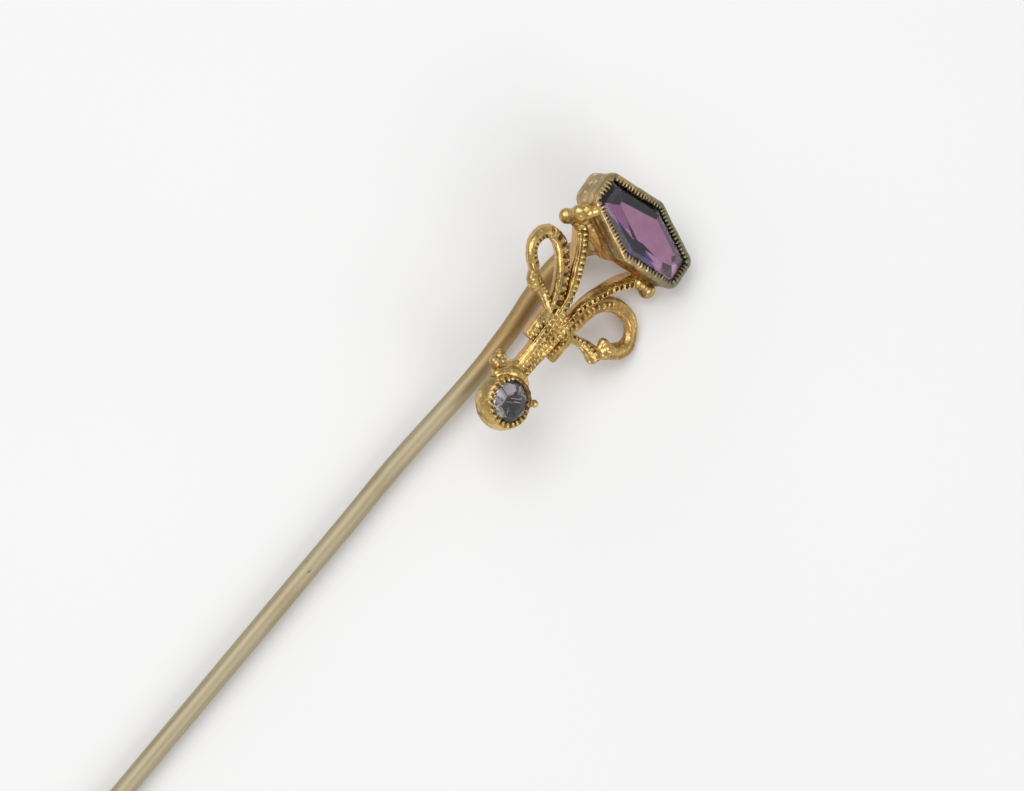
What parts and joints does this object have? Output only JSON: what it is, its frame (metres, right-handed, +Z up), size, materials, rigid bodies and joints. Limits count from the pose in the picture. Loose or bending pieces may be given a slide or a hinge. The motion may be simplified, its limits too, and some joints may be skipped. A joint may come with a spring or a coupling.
{
  "type": "hat pin",
  "caption": "Antique gilt hat pin: scrollwork finial with a six-sided violet paste in a beaded collar, a small round clear paste below, and a long pointed wire that pushes through a hat.",
  "frame": {"origin": "centre of the bounding box's bottom face, on the surface that the pin lies on", "axes": "+X along the pin from its point towards its head, +Z up from the table that it lies on, +Y to the left seen from the point"},
  "size_m": [0.1134, 0.0076, 0.0069],
  "materials": {
    "gilt_scrollwork": "bright fire-gilt stamping, worn and browned in the recesses",
    "setting_brass": "darkened antique brass with grey-green tarnish on the rim",
    "stem_wire": "satin drawn wire, olive-tan, with a few dark pits",
    "violet_paste": "polished cut glass, foiled behind",
    "clear_paste": "polished cut glass, foiled behind",
    "foil": "thin bright foil leaf behind a stone"
  },
  "bodies": {
    "root": {"amethyst_base": "setting_brass", "amethyst_bezel": "setting_brass", "amethyst_foil": "foil", "amethyst_gallery_wire": "setting_brass", "amethyst_stone": "violet_paste", "cup_shoulder": "gilt_scrollwork", "left_inner_arm": "gilt_scrollwork", "left_inner_beading": "gilt_scrollwork", "left_loop": "gilt_scrollwork", "left_loop_beading": "gilt_scrollwork", "left_lower_leaf": "gilt_scrollwork", "left_shoulder_bead": "gilt_scrollwork", "left_shoulder_grain": "gilt_scrollwork", "left_sprig": "gilt_scrollwork", "left_upper_leaf": "gilt_scrollwork", "paste_cup": "gilt_scrollwork", "paste_foil": "foil", "paste_stone": "clear_paste", "pin_stem": "stem_wire", "right_inner_arm": "gilt_scrollwork", "right_inner_beading": "gilt_scrollwork", "right_loop": "gilt_scrollwork", "right_loop_beading": "gilt_scrollwork", "right_lower_leaf": "gilt_scrollwork", "right_shoulder_bead": "gilt_scrollwork", "right_sprig": "gilt_scrollwork", "right_sprig_bead": "gilt_scrollwork", "right_upper_leaf": "gilt_scrollwork", "stem_solder": "stem_wire", "trunk": "gilt_scrollwork", "trunk_wire_1": "gilt_scrollwork", "trunk_wire_2": "gilt_scrollwork", "trunk_wire_3": "gilt_scrollwork", "trunk_wire_4": "gilt_scrollwork"}
  },
  "joints": []
}
